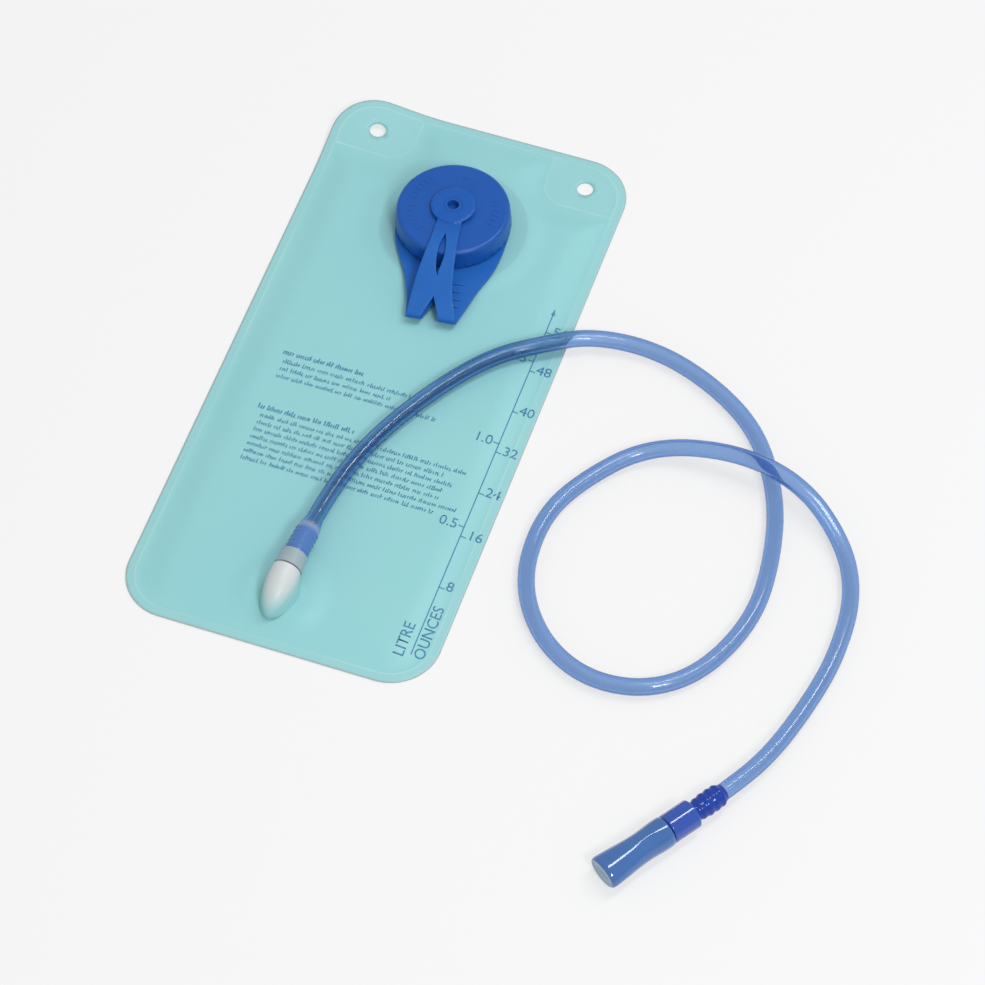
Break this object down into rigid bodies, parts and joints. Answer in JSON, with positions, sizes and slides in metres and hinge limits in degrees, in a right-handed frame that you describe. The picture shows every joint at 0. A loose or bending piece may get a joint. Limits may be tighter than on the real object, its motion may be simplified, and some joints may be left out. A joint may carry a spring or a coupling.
{
  "type": "hydration bladder",
  "caption": "Flat welded film water pouch with a tethered screw-cap filler, a hang hole in each top corner and a drinking hose ending in a twist-and-pull bite valve.",
  "frame": {"origin": "on the floor under the middle of the pouch, which lies on its back", "axes": "+X across the pouch to its right, +Y up the pouch towards the filler and the hang holes, +Z out of its front face"},
  "size_m": [0.3871, 0.4546, 0.0285],
  "materials": {
    "film": "translucent turquoise soft film, satin",
    "neck": "moulded blue plastic",
    "cap": "moulded blue plastic, satin",
    "tether": "flexible blue plastic, satin",
    "gasket": "silicone",
    "port": "frosted translucent plastic",
    "seal": "black rubber",
    "hose": "clear blue flexible tube",
    "valve": "translucent dark blue plastic",
    "bite": "translucent blue silicone"
  },
  "bodies": {
    "pouch": {"back_film": "film", "front_film": "film", "filler_neck": "neck", "tether_ring": "tether", "outlet_port": "port"},
    "cap_carrier": {"tether_strap": "tether"},
    "cap": {"screw_cap": "cap", "cap_gasket": "gasket"},
    "hose_line": {"hose_connector": "port", "port_o_ring": "seal", "drink_hose": "hose", "valve_housing": "valve"},
    "valve_slider": {"valve_o_ring": "seal"},
    "valve_sleeve": {"valve_spool": "valve", "mouthpiece": "bite"}
  },
  "joints": [
    {"name": "cap_lift", "type": "slide", "parent": "pouch", "child": "cap_carrier", "axis": [0, 0, 1], "range_m": [0, 0.006]},
    {"name": "cap_turn", "type": "hinge", "parent": "cap_carrier", "child": "cap", "pos_m": [0.002, 0.112, 0.0155], "axis": [0, 0, 1], "range_deg": [0, 540]},
    {"name": "hose_release", "type": "slide", "parent": "pouch", "child": "hose_line", "axis": [0.0523, 0.9986, 0], "range_m": [0, 0.014]},
    {"name": "valve_pull", "type": "slide", "parent": "hose_line", "child": "valve_slider", "axis": [-0.5592, -0.829, 0], "range_m": [0, 0.004]},
    {"name": "valve_twist", "type": "hinge", "parent": "valve_slider", "child": "valve_sleeve", "pos_m": [0.2486, -0.2132, 0.0088], "axis": [-0.5592, -0.829, 0], "range_deg": [0, 90]}
  ],
  "couplings": [
    {"joint": "cap_lift", "follows": "cap_turn", "m_per_rad": 0.000636},
    {"joint": "valve_pull", "follows": "valve_twist", "m_per_rad": 0.002546}
  ]
}
